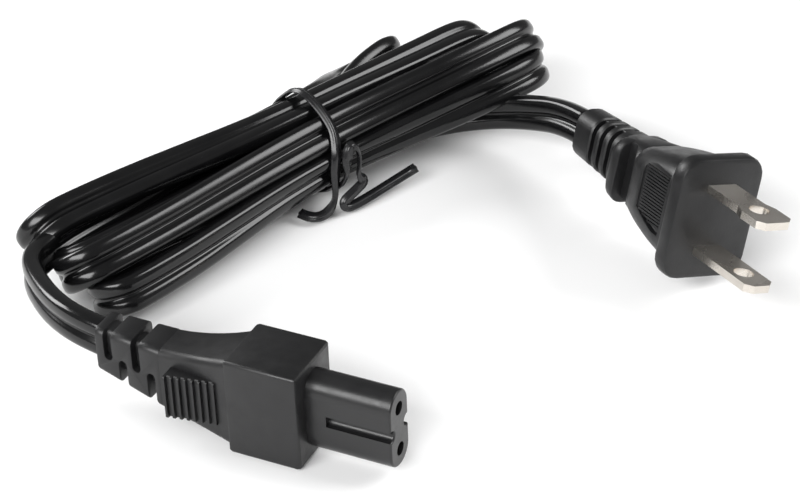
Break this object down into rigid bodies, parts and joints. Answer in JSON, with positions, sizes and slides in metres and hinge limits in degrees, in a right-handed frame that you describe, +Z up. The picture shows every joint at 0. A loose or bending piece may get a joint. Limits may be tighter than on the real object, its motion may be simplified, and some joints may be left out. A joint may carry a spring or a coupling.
{
  "type": "power cord",
  "caption": "Mains power cord with a polarised two-blade plug, a figure-8 connector and flat twin cable folded in a hank under a twist tie.",
  "frame": {"origin": "on the surface the cord lies on, under the middle of the connector", "axes": "+X the way the connector nose points, +Z up, +Y through the thickness of the connector"},
  "size_m": [0.137, 0.1441, 0.0289],
  "materials": {
    "moulding": "satin moulded PVC, near black",
    "insert": "hard moulded plastic, satin",
    "jacket": "glossy extruded PVC",
    "plated_blade": "nickel-plated brass",
    "brass": "bare spring brass",
    "copper": "bare copper strands",
    "tie": "plastic-covered wire"
  },
  "bodies": {
    "root": {"connector_overmould": "moulding", "connector_insert": "insert", "contact_line": "brass", "contact_neutral": "brass", "connector_wire_line": "copper", "connector_wire_neutral": "copper", "cord_end_connector": "jacket", "plug_overmould": "moulding", "plug_bridge": "insert", "blade_neutral": "plated_blade", "blade_line": "plated_blade", "plug_wire_line": "copper", "plug_wire_neutral": "copper", "cord_end_plug": "jacket", "cord_lead_connector": "jacket", "cord_hank": "jacket", "cord_lead_plug": "jacket", "twist_tie": "tie"}
  },
  "joints": []
}
